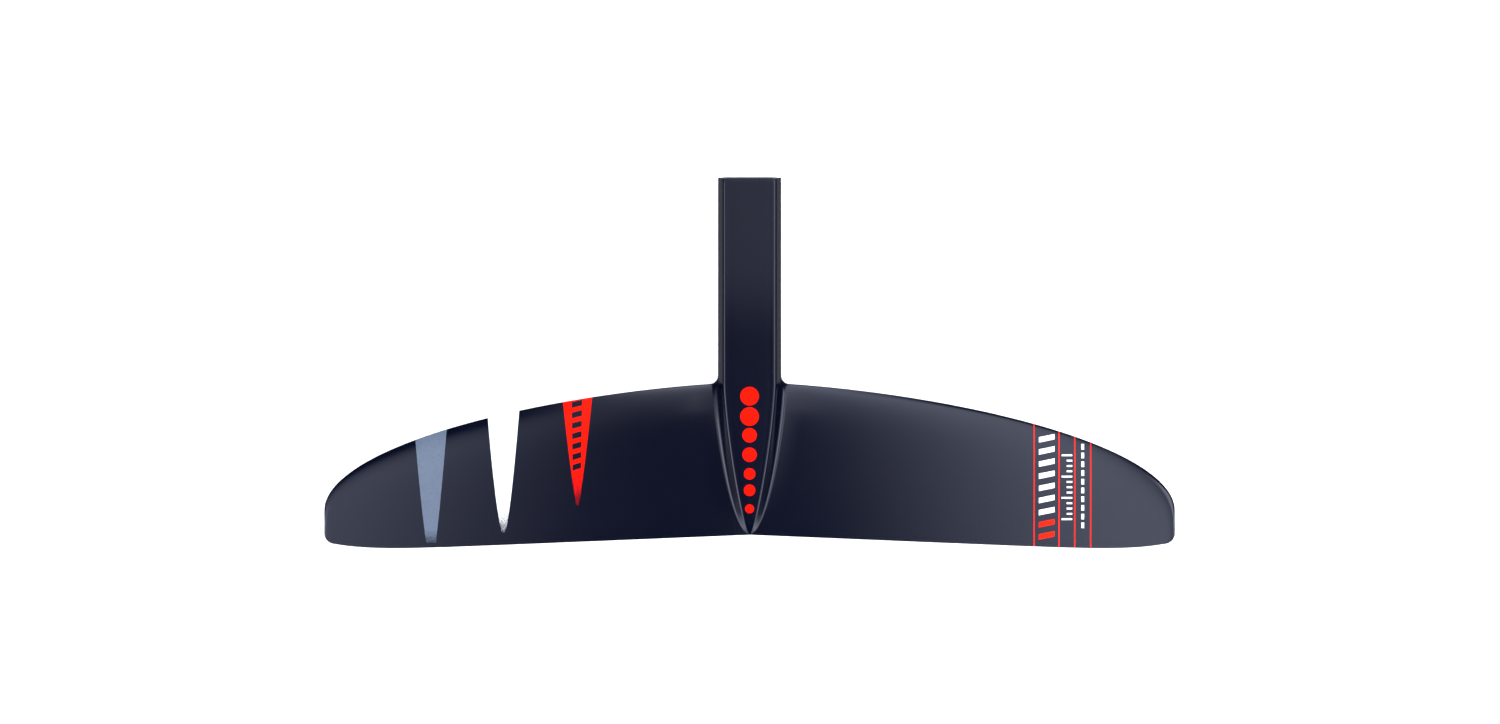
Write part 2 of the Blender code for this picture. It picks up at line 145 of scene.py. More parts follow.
# The glow from the front: its radiance, its growth forwards, and how far to each side it fades
FRONT_GLOW, FRONT_RISE, FRONT_SIDES = 4.2, 1.5, (0.07, 0.26)

# The faint glow from below the horizon: its radiance and its soft edges to each side and upwards
LOW_GLOW, LOW_INNER, LOW_OUTER, LOW_TOP = 0.155, (0.12, 0.30), (0.60, 0.95), (-0.30, 0.0)


def add_camera():
    """Straight above, and far enough away for the wing to look flat."""
    data = bpy.data.cameras.new("camera")
    data.sensor_width = 36.0
    data.lens = data.sensor_width * CAMERA_PLACE[2] / VIEW_WIDTH
    data.clip_start, data.clip_end = 0.05, 60.0
    camera = bpy.data.objects.new("camera", data)
    camera.location = CAMERA_PLACE
    bpy.context.scene.collection.objects.link(camera)
    bpy.context.scene.camera = camera


def add_stage():
    """A pale floor that sweeps up into a pale wall far away on every side."""
    mesh = bmesh.new()
    floor_z = CAD_LOW[2] - FLOOR_GAP
    outline = []
    for turn in steps(0, math.pi / 2, 10):
        radius = FLOOR_RADIUS + BEND_RADIUS * math.sin(turn)
        outline.append((radius, BEND_RADIUS * (1 - math.cos(turn))))
    outline.append((FLOOR_RADIUS + BEND_RADIUS, WALL_TOP))
    rings, sides = [], 64
    turns = [2 * math.pi * i / sides for i in range(sides)]
    for radius, z in outline:
        points = [(radius * math.cos(t), radius * math.sin(t), floor_z + z) for t in turns]
        rings.append([mesh.verts.new(point) for point in points])
    mesh.faces.new(rings[0])
    for low, high in zip(rings, rings[1:]):
        for i in range(sides):
            mesh.faces.new([low[i], low[i - 1], high[i - 1], high[i]])
    bmesh.ops.recalc_face_normals(mesh, faces=mesh.faces)
    bmesh.ops.reverse_faces(mesh, faces=mesh.faces)
    data = bpy.data.meshes.new("studio_sweep")
    mesh.to_mesh(data)
    mesh.free()
    paint = bpy.data.materials.new("pale_sweep")
    paint.use_nodes = True
    shader = paint.node_tree.nodes["Principled BSDF"]
    shader.inputs["Base Color"].default_value = SWEEP_COLOUR
    shader.inputs["Roughness"].default_value = 1.0
    shader.inputs["Specular IOR Level"].default_value = 0.0
    shader.inputs["Emission Color"].default_value = (1, 1, 1, 1)
    shader.inputs["Emission Strength"].default_value = SWEEP_GLOW
    data.materials.append(paint)
    data.shade_smooth()
    sweep = bpy.data.objects.new("studio_sweep", data)
    bpy.context.scene.collection.objects.link(sweep)
    sweep.visible_glossy = False


def add_lights():
    """A broad soft light overhead for the colours, and a small lamp over the body's front end."""
    data = bpy.data.lights.new("overhead_fill", "SUN")
    data.energy = OVERHEAD_STRENGTH
    data.angle = OVERHEAD_SPREAD
    data.color = OVERHEAD_COLOUR
    fill = bpy.data.objects.new("overhead_fill", data)
    bpy.context.scene.collection.objects.link(fill)
    fill.visible_glossy = False

    data = bpy.data.lights.new("front_lamp", "AREA")
    data.shape = "RECTANGLE"
    data.size, data.size_y = LAMP_SIZE
    data.energy = LAMP_RADIANCE * math.pi * data.size * data.size_y
    lamp = bpy.data.objects.new("front_lamp", data)
    lamp.location = LAMP_PLACE
    bpy.context.scene.collection.objects.link(lamp)
    lamp.visible_camera = False


def add_world():
    """A tent that is dark overhead, with four soft panels, a glow in front and a faint one below."""
    world = bpy.data.worlds.new("studio")
    world.use_nodes = True
    tree = world.node_tree
    bpy.context.scene.world = world
    place = tree.nodes.new("ShaderNodeTexCoord")
    parts = tree.nodes.new("ShaderNodeSeparateXYZ")
    tree.links.new(place.outputs["Generated"], parts.inputs[0])

    def operate(operation, first, second):
        node = tree.nodes.new("ShaderNodeMath")
        node.operation = operation
        for socket, value in zip(node.inputs, (first, second)):
            if isinstance(value, bpy.types.NodeSocket):
                tree.links.new(value, socket)
            else:
                socket.default_value = value
        return node.outputs[0]

    def edge(value, start, stop, low, high):
        node = tree.nodes.new("ShaderNodeMapRange")
        node.interpolation_type = "SMOOTHSTEP"
        tree.links.new(value, node.inputs["Value"])
        limits = {"From Min": start, "From Max": stop, "To Min": low, "To Max": high}
        for name, given in limits.items():
            node.inputs[name].default_value = given
        return node.outputs["Result"]

    above = edge(parts.outputs["Z"], *PANEL_FOOT, 0.0, 1.0)
    total = TENT_SHADE
    for radiance, *spans in PANELS.values():
        panel = radiance
        for axis, (rise, full, fall, end) in zip("XY", spans):
            value = parts.outputs[axis]
            panel = operate("MULTIPLY", panel, edge(value, rise, full, 0.0, 1.0))
            panel = operate("MULTIPLY", panel, edge(value, fall, end, 1.0, 0.0))
        total = operate("ADD", total, operate("MULTIPLY", panel, above))
    front = operate("POWER", operate("MAXIMUM", parts.outputs["Y"], 0.0), FRONT_RISE)
    front = operate("MULTIPLY", operate("MULTIPLY", front, FRONT_GLOW), above)
    sideways = operate("ABSOLUTE", parts.outputs["X"], 0.0)
    front = operate("MULTIPLY", front, edge(sideways, *FRONT_SIDES, 1.0, 0.0))
    total = operate("ADD", total, front)
    low = operate("MULTIPLY", edge(sideways, *LOW_INNER, 0.0, 1.0),
                  edge(sideways, *LOW_OUTER, LOW_GLOW, 0.0))
    low = operate("MULTIPLY", low, edge(parts.outputs["Z"], *LOW_TOP, 1.0, 0.0))
    total = operate("ADD", total, low)
    background = tree.nodes["Background"]
    tree.links.new(total, background.inputs["Strength"])
    background.inputs["Color"].default_value = TENT_COLOUR


# ---------------------------------------------------------------- node materials

class Paint:
    """A material built node by node. Its coordinates are metres in the part's own frame."""

    def __init__(self, name):
        self.material = bpy.data.materials.new(name)
        self.material.use_nodes = True
        self.tree = self.material.node_tree
        self.shader = self.tree.nodes["Principled BSDF"]
        self.place = self.tree.nodes.new("ShaderNodeTexCoord").outputs["Object"]

    def put(self, socket, value):
        """A link for another node's output, or a plain value."""
        if isinstance(value, bpy.types.NodeSocket):
            self.tree.links.new(value, socket)
        elif isinstance(value, tuple) and len(value) == 3 and len(socket.default_value) == 4:
            socket.default_value = (*value, 1.0)
        else:
            socket.default_value = value

    def set(self, **values):
        for name, value in values.items():
            self.put(self.shader.inputs[name.replace("_", " ")], value)

    def noise(self, size, detail=2.0, stretch=(1, 1, 1)):
        """Noise with blotches about this many metres across, from 0 to 1."""
        mapping = self.tree.nodes.new("ShaderNodeMapping")
        mapping.inputs["Scale"].default_value = stretch
        self.put(mapping.inputs["Vector"], self.place)
        node = self.tree.nodes.new("ShaderNodeTexNoise")
        node.inputs["Scale"].default_value = 1.0 / size
        node.inputs["Detail"].default_value = detail
        self.put(node.inputs["Vector"], mapping.outputs["Vector"])
        return node.outputs["Fac"]

    def axis(self, letter):
        node = self.tree.nodes.new("ShaderNodeSeparateXYZ")
        self.tree.links.new(self.place, node.inputs[0])
        return node.outputs[letter]

    def math(self, operation, first, second=0.0):
        node = self.tree.nodes.new("ShaderNodeMath")
        node.operation = operation
        for socket, value in zip(node.inputs, (first, second)):
            self.put(socket, value)
        return node.outputs[0]

    def span(self, value, low, high, to_low=0.0, to_high=1.0):
        """value from low to high, remapped and held at its ends."""
        node = self.tree.nodes.new("ShaderNodeMapRange")
        given = {"Value": value, "From Min": low, "From Max": high, "To Min": to_low, "To Max": to_high}
        for name, amount in given.items():
            self.put(node.inputs[name], amount)
        return node.outputs["Result"]

    def blotchy(self, value, low, high):
        """A noise's usual range spread from low to high."""
        return self.span(value, 0.3, 0.7, low, high)

    def mix(self, share, first, second):
        node = self.tree.nodes.new("ShaderNodeMix")
        node.data_type = "RGBA"
        self.put(node.inputs["Factor"], share)
        self.put(node.inputs["A"], first)
        self.put(node.inputs["B"], second)
        return node.outputs["Result"]

    def bump(self, height, depth, strength=1.0):
        """Tilts the surface as a relief of this depth in metres would."""
        node = self.tree.nodes.new("ShaderNodeBump")
        node.inputs["Strength"].default_value = strength
        node.inputs["Distance"].default_value = depth
        self.put(node.inputs["Height"], height)
        self.put(self.shader.inputs["Normal"], node.outputs["Normal"])


def shade(colour, factor):
    return tuple(min(channel * factor, 1.0) for channel in colour)


# The lacquer, the inks, and the tints of their highlights
NAVY = (0.0011, 0.0018, 0.0076)
RED, WHITE, BLUE_GREY = (0.93, 0.005, 0.0015), (0.93, 0.94, 0.95), (0.101, 0.129, 0.182)
COOL_SHINE, RED_SHINE = (0.827, 0.845, 1.0), (0.80, 0.35, 0.15)
SPECK = 0.30 * MM              # size of the specks that a worn print breaks into


def satin_lacquer(paint, colour, tint):
    """Sprayed satin lacquer: faint blotches, orange peel, and a fine grain in its gloss."""
    cloud = paint.noise(45 * MM, 3.0)
    peel = paint.noise(1.3 * MM, 2.0)
    grain = paint.noise(0.35 * MM, 1.0)
    gloss = paint.math("ADD", paint.math("MULTIPLY", cloud, 0.6), paint.math("MULTIPLY", grain, 0.4))
    paint.set(Base_Color=colour, Roughness=paint.blotchy(gloss, 0.13, 0.17))
    paint.bump(peel, 0.004 * MM, 0.35)
    paint.shader.inputs["Specular Tint"].default_value = (*tint, 1.0)


def navy_lacquer():
    paint = Paint("satin_navy_lacquer")
    cloud = paint.blotchy(paint.noise(60 * MM, 4.0), 0.0, 1.0)
    satin_lacquer(paint, paint.mix(cloud, shade(NAVY, 0.88), shade(NAVY, 1.14)), COOL_SHINE)
    return paint.material


def print_ink(name, colour, fade=None, tint=COOL_SHINE):
    """Ink under the lacquer. fade is where along Y it starts and stops breaking into specks."""
    paint = Paint(name)
    mottle = paint.blotchy(paint.noise(4 * MM, 3.0), 0.0, 1.0)
    ink = paint.mix(mottle, shade(colour, 0.965), shade(colour, 1.02))
    if fade:
        whole = paint.span(paint.axis("Y"), fade[1], fade[0])
        kept = paint.math("SUBTRACT", whole, paint.span(paint.noise(SPECK), 0.38, 0.62))
        ink = paint.mix(paint.span(kept, -0.08, 0.08), NAVY, ink)
    satin_lacquer(paint, ink, tint)
    return paint.material


def woven(name, dark, light, roughness, tow):
    """Two-by-two twill cloth under resin, laid along each face's own two directions."""
    paint = Paint(name)
    uv = paint.tree.nodes.new("ShaderNodeUVMap").outputs["UV"]
    split = paint.tree.nodes.new("ShaderNodeSeparateXYZ")
    paint.tree.links.new(uv, split.inputs[0])
    across = paint.math("DIVIDE", split.outputs["X"], tow)
    along = paint.math("DIVIDE", split.outputs["Y"], tow)
    diagonal = paint.math("ADD", paint.math("FLOOR", across), paint.math("FLOOR", along))
    over = paint.math("LESS_THAN", paint.math("FLOORED_MODULO", diagonal, 4.0), 2.0)
    crown_across = paint.math("PINGPONG", across, 0.5)
    crown_along = paint.math("PINGPONG", along, 0.5)
    crown = paint.math("ADD", paint.math("MULTIPLY", over, crown_across),
                       paint.math("MULTIPLY", paint.math("SUBTRACT", 1.0, over), crown_along))
    fibre = paint.noise(0.10 * MM)
    # The tows that lie over set the twill's own pattern; the lighter colour along each tow's raised
    # crown is a painted sheen
    share = paint.math("ADD", paint.math("MULTIPLY", over, 0.45), paint.math("MULTIPLY", crown, 0.5))
    share = paint.math("ADD", share, paint.math("MULTIPLY", fibre, 0.25))
    paint.set(Base_Color=paint.mix(share, dark, light),
              Roughness=paint.blotchy(fibre, roughness - 0.06, roughness + 0.06))
    paint.bump(crown, 0.05 * MM, 0.5)
    paint.shader.inputs["Coat Weight"].default_value = 0.3
    paint.shader.inputs["Coat Roughness"].default_value = 0.25
    return paint.material


def straight_fibres(name, dark, light):
    """Carbon rovings laid along the span."""
    paint = Paint(name)
    fibre = paint.noise(0.6 * MM, 4.0, (0.02, 1.0, 1.0))
    paint.set(Base_Color=paint.mix(fibre, dark, light), Roughness=paint.blotchy(fibre, 0.34, 0.5))
    paint.bump(fibre, 0.04 * MM, 0.5)
    return paint.material


def closed_cell_foam():
    paint = Paint("closed_cell_foam")
    cells = paint.tree.nodes.new("ShaderNodeTexVoronoi")
    cells.inputs["Scale"].default_value = 1.0 / (0.7 * MM)
    paint.tree.links.new(paint.place, cells.inputs["Vector"])
    # Each cell's middle is a pit in the bump, and the darker colour painted there is painted shade in
    # the hollow
    wall = paint.span(cells.outputs["Distance"], 0.1, 0.7)
    stain = paint.noise(12 * MM, 3.0)
    cream = paint.mix(stain, (0.68, 0.60, 0.43), (0.78, 0.72, 0.56))
    paint.set(Base_Color=paint.mix(wall, (0.52, 0.44, 0.30), cream),
              Roughness=paint.blotchy(stain, 0.82, 0.95))
    paint.bump(wall, 0.12 * MM, 0.6)
    return paint.material


def glass_strip():
    paint = Paint("cured_glass_strip")
    fibre = paint.noise(0.8 * MM, 4.0, (0.03, 1.0, 1.0))
    paint.set(Base_Color=paint.mix(fibre, (0.34, 0.43, 0.31), (0.55, 0.63, 0.50)),
              Roughness=paint.blotchy(fibre, 0.3, 0.45))
    paint.bump(fibre, 0.03 * MM, 0.4)
    return paint.material


def turned_metal(name, dark, light, roughness):
    """Metal with the fine rings and faint stains that turning and handling leave."""
    paint = Paint(name)
    rings = paint.noise(0.22 * MM, 2.0, (0.35, 0.35, 1.0))
    stain = paint.noise(2.5 * MM, 3.0)
    marks = paint.math("ADD", rings, stain)
    paint.set(Base_Color=paint.mix(stain, dark, light), Metallic=1.0,
              Roughness=paint.span(marks, 0.6, 1.4, roughness - 0.07, roughness + 0.10))
    paint.bump(rings, 0.008 * MM, 0.5)
    return paint.material


def bonding_resin():
    """Filled epoxy squeezed out between the layers, with trapped bubbles."""
    paint = Paint("bonding_resin")
    bubbles = paint.noise(0.5 * MM, 3.0)
    paint.set(Base_Color=paint.mix(bubbles, (0.030, 0.030, 0.032), (0.085, 0.085, 0.085)),
              Roughness=paint.blotchy(bubbles, 0.25, 0.5))
    paint.bump(bubbles, 0.06 * MM, 0.6)
    return paint.material


# ---------------------------------------------------------------- meshes

def steps(low, high, count):
    """count even steps from low to high, both ends included."""
    return [low + (high - low) * i / count for i in range(count + 1)]


def box_project(mesh):
    """A UV map in metres, each face laid flat along its own two directions."""
    layer = mesh.uv_layers.new(name="cloth")
    for face in mesh.polygons:
        normal = [abs(value) for value in face.normal]
        across, along = ((1, 2), (0, 2), (0, 1))[normal.index(max(normal))]
        for loop in face.loop_indices:
            point = mesh.vertices[mesh.loops[loop].vertex_index].co
            layer.data[loop].uv = (point[across], point[along])


def add_piece(name, mesh, material, body="wing", sharp=35):
    """Puts a bmesh in the scene as a piece that rides on a body."""
    bmesh.ops.recalc_face_normals(mesh, faces=mesh.faces)
    data = bpy.data.meshes.new(name)
    mesh.to_mesh(data)
    mesh.free()
    data.materials.append(material)
    data.shade_smooth()
    data.set_sharp_from_angle(angle=math.radians(sharp))
    box_project(data)
    piece = bpy.data.objects.new(name, data)
    bpy.context.scene.collection.objects.link(piece)
    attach(piece, body)
    return piece


def closed_lattice(outer_rows, inner_rows):
    """A closed mesh from two matching grids of points, joined around their border. None is a hole."""
    mesh = bmesh.new()

    def points_of(rows):
        return [[place and mesh.verts.new(place) for place in row] for row in rows]

    outer, inner = points_of(outer_rows), points_of(inner_rows)
    border = {}
    for r in range(len(outer) - 1):
        for c in range(len(outer[0]) - 1):
            cell = [(r, c), (r + 1, c), (r + 1, c + 1), (r, c + 1)]
            if not all(outer[i][j] for i, j in cell):
                continue
            mesh.faces.new([outer[i][j] for i, j in cell])
            mesh.faces.new([inner[i][j] for i, j in reversed(cell)])
            for a, b in zip(cell, cell[1:] + cell[:1]):
                if border.pop((b, a), None) is None:
                    border[a, b] = True
    for (ra, ca), (rb, cb) in border:
        mesh.faces.new([outer[rb][cb], outer[ra][ca], inner[ra][ca], inner[rb][cb]])
    bmesh.ops.remove_doubles(mesh, verts=mesh.verts, dist=CLOSE)
    bmesh.ops.dissolve_degenerate(mesh, edges=mesh.edges, dist=CLOSE)
    bmesh.ops.triangulate(mesh, faces=[face for face in mesh.faces if len(face.verts) > 4])
    return mesh


# ---------------------------------------------------------------- the wing's shape

def leading_edge(x):
    share = min(abs(x) / HALF_SPAN, 1.0)
    reach = (1 - share**NOSE_POWER) ** NOSE_FALL
    return ROOT_EDGE_Y - TIP_SWEEP + (TIP_SWEEP + NOSE_RISE) * reach


def trailing_edge(x):
    x = min(abs(x), HALF_SPAN)
    corner_start = HALF_SPAN - TIP_CORNER
    straight = min(x, corner_start)
    y = ROOT_EDGE_Y - ROOT_CHORD - TAIL_SWEEP * straight
    y += TAIL_RETURN * (straight / HALF_SPAN) ** TAIL_POWER
    into = max(x - corner_start, 0.0)
    return y + TIP_CORNER - math.sqrt(max(TIP_CORNER**2 - into**2, 0.0))


def chord(x):
    return leading_edge(x) - trailing_edge(x)


def chord_point(x, s):
    """Y of the point at the share s of the chord, from the leading edge."""
    return leading_edge(x) - s * chord(x)


def half_thickness(x, s):
    """Half the thickness of the section, a common four-digit one with a blunt tail edge."""
    ratio = THICKNESS_ROOT + (THICKNESS_TIP - THICKNESS_ROOT) * abs(x) / HALF_SPAN
    shape = 0.2969 * math.sqrt(s) - 0.1260 * s - 0.3516 * s**2 + 0.2843 * s**3 - 0.1036 * s**4
    return 5 * ratio * shape * chord(x) + TAIL_EDGE_HALF * s


def droop_share(x):
    return (max(abs(x) - DROOP_START, 0.0) / (HALF_SPAN - DROOP_START)) ** 2


def most_droop():
    """The droop that brings the tips' undersides level with the body's, and no lower."""
    allowed = []
    for x in steps(0.85 * HALF_SPAN, HALF_SPAN, 60):
        deepest = max(half_thickness(x, s) for s in steps(0.1, 0.6, 50))
        allowed.append((BODY_HEIGHT / 2 - CAD_PARTING / 2 - deepest) / droop_share(x))
    return min(allowed)


DROOP = most_droop()


def camber_z(x):
    return -DROOP * droop_share(x)


def wing_height(x, s):
    """Height of the wing's surface over the parting plane, with the tip's edge rounded off."""
    into = min(max((abs(x) - HALF_SPAN) / TIP_EDGE_ROUND + 1, 0.0), 1.0)
    full = CAD_PARTING / 2 + half_thickness(x, s)
    if s == 0:
        return SEAM
    return SEAM + (full - SEAM) * math.sqrt(1 - into**2)


def wing_top(x, y):
    """Height of the upper surface over the plan point (x, y) of the wing."""
    s = min(max((leading_edge(x) - y) / chord(x), 0.0), 1.0)
    return camber_z(x) + wing_height(x, s)


# ---------------------------------------------------------------- the body's shape

def tail_share(y):
    return min(max((ROOT_EDGE_Y - y) / ROOT_CHORD, 0.0), 1.0)


def tapered(y, full, end, powers):
    """A measure that is full along the stub and falls to end at the trailing edge."""
    inner, outer = powers
    return end + (full - end) * (1 - tail_share(y) ** inner) ** outer


def body_half_width(y):
    """Half width at the parting plane."""
    return tapered(y, BODY_WIDTH / 2, BODY_TAIL_WIDTH / 2, PLAN_TAPER)


def ridge_half_width(y):
    return tapered(y, RIDGE_HALF, RIDGE_END, RIDGE_TAPER)


def body_half_height(y):
    return tapered(y, BODY_HEIGHT / 2, CAD_PARTING / 2 + TAIL_EDGE_HALF + RIDGE_END, HEIGHT_TAPER)


def wall_lean(y):
    """Sideways slope of the drafted side wall."""
    return (body_half_width(y) - ridge_half_width(y)) / body_half_height(y)


def wall_x(y, z):
    """Half width of the side wall at height z."""
    return ridge_half_width(y) + wall_lean(y) * (body_half_height(y) - z)


def wall_normal(y, z, rise):
    """Outward normal of the side wall, its upward part scaled by rise."""
    step = 0.05 * MM
    back = (wall_x(y - step, z) - wall_x(y + step, z)) / (2 * step)
    return Vector((1.0, back, wall_lean(y) * rise)).normalized()


def root_fillet(y, wing_z):
    return min(ROOT_FILLET, FILLET_SHARE * (body_half_height(y) - wing_z))


# ---------------------------------------------------------------- the two shells

def nose_normal(x, s):
    """Outward normal of the section as (forward, up), never leaning back."""
    if s == 0.0:
        return 1.0, 0.0
    step = min(1e-4, s / 2)
    behind = min(s + step, 1.0)
    rise = half_thickness(x, behind) - half_thickness(x, s - step)
    forward, up = max(rise, 0.0), (behind - s + step) * chord(x)
    size = math.hypot(forward, up)
    return forward / size, up / size


def body_half_row(y, foot_z, ease=0.0):
    """Outer and inner points from the foot of the side wall up to the middle of the top."""
    ridge, top = ridge_half_width(y), body_half_height(y)
    wall = min(SKIN, SKIN_SHARE * (top - foot_z))
    lean = math.atan(wall_lean(y))
    radius = min(RIDGE_ROUND, RIDGE_SHARE * ridge, ROUND_SHARE * (top - foot_z))
    hollow = max(radius - wall, 0.0)
    centre_x, centre_z = ridge - radius * math.tan((math.pi / 2 - lean) / 2), top - radius
    foot = wall_x(y, foot_z)
    outer = [(foot - ease / math.cos(lean), y, foot_z)]
    inner = [(foot - wall / math.cos(lean), y, foot_z)]
    for turn in steps(lean, math.pi / 2, CORNER_STEPS):
        across, up = math.cos(turn), math.sin(turn)
        outer.append((centre_x + (radius - ease) * across, y, centre_z + (radius - ease) * up))
        inner.append((centre_x + hollow * across, y, min(centre_z + hollow * up, top - wall)))
    crown = TOP_CROWN * top / (BODY_HEIGHT / 2)
    for share in TOP_SHARES:
        outer.append((centre_x * share, y, top - ease - crown * share**CROWN_POWER))
        inner.append((centre_x * share, y, top - wall))
    return outer, inner


def wing_half_row(s):
    """Outer and inner points of one chordwise station, from the tip in to the middle of the body."""
    x = BODY_WIDTH / 2
    y = chord_point(x, s)
    for _ in range(FILLET_ROUNDS):
        radius = root_fillet(y, wing_height(x, s))
        forward, up = nose_normal(x, s)
        contact = Vector((x, chord_point(x, s), wing_height(x, s)))
        to_wing = Vector((0.0, -forward, -up))
        centre = contact - radius * to_wing
        to_wall = -wall_normal(y, centre.z, up)
        touch = centre + radius * to_wall
        y = touch.y
        x += wall_x(y, touch.z) - touch.x
    outer, inner = [], []
    for i in range(WING_COLUMNS):
        share = math.sin(math.pi / 2 * (1 - i / WING_COLUMNS) ** COLUMN_POWER)
        place = x + (HALF_SPAN - x) * share
        middle, height = camber_z(place), wing_height(place, s)
        outer.append((place, chord_point(place, s), middle + height))
        inner.append((place, chord_point(place, s), middle + max(height - SKIN, SEAM)))
    body_outer, body_inner = body_half_row(touch.y, touch.z)
    thinness = body_outer[0][0] - body_inner[0][0]
    for i in range(FILLET_STEPS):
        share = i / FILLET_STEPS
        point = centre + radius * to_wing.slerp(to_wall, share)
        outer.append(tuple(point))
        inner.append((point.x - thinness * share, point.y, max(point.z - SKIN * (1 - share), SEAM)))
    return outer + body_outer, inner + body_inner


def both_hands(half):
    """A row from one tip to the other, from its half. None marks a point that isn't there."""
    return half + [point and (-point[0], point[1], point[2]) for point in reversed(half[:-1])]


def set_back(point):
    """A point of the shell near the mouth, moved back to bare the sleeve's end, most at the corners."""
    x, y, z = point
    corner = min(max((abs(x) - TRIM_CORNER_X) / TRIM_CORNER_WIDTH, 0.0), 1.0)
    near = min(max((y - MOUTH_Y + TRIM_START) / TRIM_LENGTH, 0.0), 1.0)
    return x, y - (MOUTH_TRIM + CORNER_TRIM * corner) * near, z


def shell_rows(trimmed):
    """Rows of outer and inner points from the mouth, trimmed or not, to the trailing edge."""
    stations = [1 - math.cos(math.pi / 2 * i / ROWS) for i in range(ROWS + 1)]
    wing = [wing_half_row(s) for s in stations]
    blank = [None] * (WING_COLUMNS + FILLET_STEPS)
    first_y = wing[0][0][len(blank)][1]
    body = []
    for turn in steps(0, math.pi / 2, 4):
        body.append((MOUTH_Y - MOUTH_EASE * (1 - math.cos(turn)), MOUTH_EASE * (1 - math.sin(turn))))
    body += [(y, 0.0) for y in steps(MOUTH_Y - BODY_START, first_y, BODY_ROWS)[:-1]]
    body += [(first_y + ahead, 0.0) for ahead in ROOT_ROWS]
    rows = []
    for y, ease in body:
        outer, inner = body_half_row(y, SEAM, ease)
        if trimmed:
            outer, inner = [set_back(p) for p in outer], [set_back(p) for p in inner]
        rows.append((blank + outer, blank + inner))
    rows += wing
    return [both_hands(outer) for outer, inner in rows], [both_hands(inner) for outer, inner in rows]


def add_shell(name, side, material, cad_node):
    """The upper shell (side 1), or the lower one (side -1), which is mirrored at the parting plane."""
    outer, inner = shell_rows(side > 0)

    def placed(point):
        x, y, z = point
        return x, y, camber_z(x) + side * (z - camber_z(x))

    def turned(rows):
        return [[point and placed(point) for point in row] for row in rows]

    shell = add_piece(name, closed_lattice(turned(outer), turned(inner)), material, sharp=SHELL_SHARP)
    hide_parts(cad_node)
    return shell


# The cutter of a bush's hole, turned a little so that its facets miss the walls' own edges
DRILL_LENGTH, DRILL_TURN, DRILL_SIDES = 12 * MM, math.radians(1.3), 96


def drill(target, name, radius, y):
    """A round hole through the socket's floor."""
    mesh = bmesh.new()
    size = {"radius1": radius, "radius2": radius, "depth": DRILL_LENGTH}
    bmesh.ops.create_cone(mesh, cap_ends=True, segments=DRILL_SIDES, **size)
    data = bpy.data.meshes.new(name)
    mesh.to_mesh(data)
    mesh.free()
    cutter = bpy.data.objects.new(name, data)
    cutter.location = (0.0, y, CAD_LOW[2])
    cutter.rotation_euler = (0, 0, DRILL_TURN)
    bpy.context.scene.collection.objects.link(cutter)
    boolean = target.modifiers.new(name, "BOOLEAN")
    boolean.operation, boolean.object = "DIFFERENCE", cutter
    with bpy.context.temp_override(object=target, active_object=target, selected_objects=[target]):
        bpy.ops.object.modifier_apply(modifier=boolean.name)
    bpy.data.objects.remove(cutter, do_unlink=True)
    target.data.shade_smooth()
    target.data.set_sharp_from_angle(angle=math.radians(SHELL_SHARP))


# ---------------------------------------------------------------- print

FILM_LIFT, FILM_DEPTH = 0.035 * MM, 0.05 * MM
MARK_LIFT = 0.03 * MM          # a mark printed over a flash lies this much higher

# The flashes: middle and half width along X, end and tip along Y, and the power of their taper.
# Each fade is where its flash starts and stops breaking into specks.
GREY_FLASH = (-149.6 * MM, 7.37 * MM, -86.6 * MM, -97.5 * MM, 0.70)
WHITE_FLASH = (-115.5 * MM, 7.36 * MM, -81.4 * MM, -83.4 * MM, 0.65)
RED_FLASH = (-80.7 * MM, 6.85 * MM, -69.9 * MM, -70.5 * MM, 0.80)
GREY_FADE, WHITE_FADE = (-80.5 * MM, -88.0 * MM), (-66.5 * MM, -82.3 * MM)
RED_FADE = (-50.0 * MM, -69.5 * MM)
FLASH_ROWS, FLASH_COLUMNS = 56, 16
FLASH_POWER = 1.6              # crowds a flash's rows towards the leading edge
FLASH_START = 0.0006           # share of the chord at which a flash starts

# Dots on the fairing as (y, radius), and the pinstripes' middles along X, in millimetres
DOTS = [
    (-17.6, 4.34), (-27.1, 4.34), (-35.9, 3.38), (-45.0, 3.38), (-54.0, 2.68), (-61.7, 2.68),
    (-70.4, 2.08),
]
PINSTRIPES, PINSTRIPE_WIDTH = [133.6, 145.3, 152.7, 160.2], 0.52 * MM
PINSTRIPE_MARGIN = 0.004       # share of the chord that a pinstripe leaves free at each edge

# Rows of bars: how many there are, the first one's place along Y and their pitch, in millimetres
MARK_ROW, LANE_ROW = (7, -21.2, 4.9), (9, -37.4, 5.7)
TICK_ROW, DASH_ROW = (13, -45.4, 2.5), (10, -41.4, 4.1)
MARK_X, MARK_LENGTH, MARK_SLANT = -81.0 * MM, 2.7 * MM, 1.2 * MM
MARK_WIDTH, MARK_NARROWING = 4.9, 0.15   # the first mark's width, and what each loses on the one before
LANE_X, LANE_SIZE, LANE_SLANT, RED_BARS = 139.5 * MM, (7.4 * MM, 2.5 * MM), 1.5 * MM, 2
TICK_X, LONG_TICK, SHORT_TICK, TICK_LENGTH = 149.0 * MM, 5.0 * MM, 2.6 * MM, 0.8 * MM
DASH_X, DASH_SIZE = 156.45 * MM, (1.3 * MM, 2.6 * MM)


def add_film(name, rows, material, lift=FILM_LIFT):
    """A thin closed film over a grid of (x, y, height of the surface) points."""
    top = [[(x, y, z + lift) for x, y, z in row] for row in rows]
    bottom = [[(x, y, z + lift - FILM_DEPTH) for x, y, z in row] for row in rows]
    add_piece(name, closed_lattice(top, bottom), material)


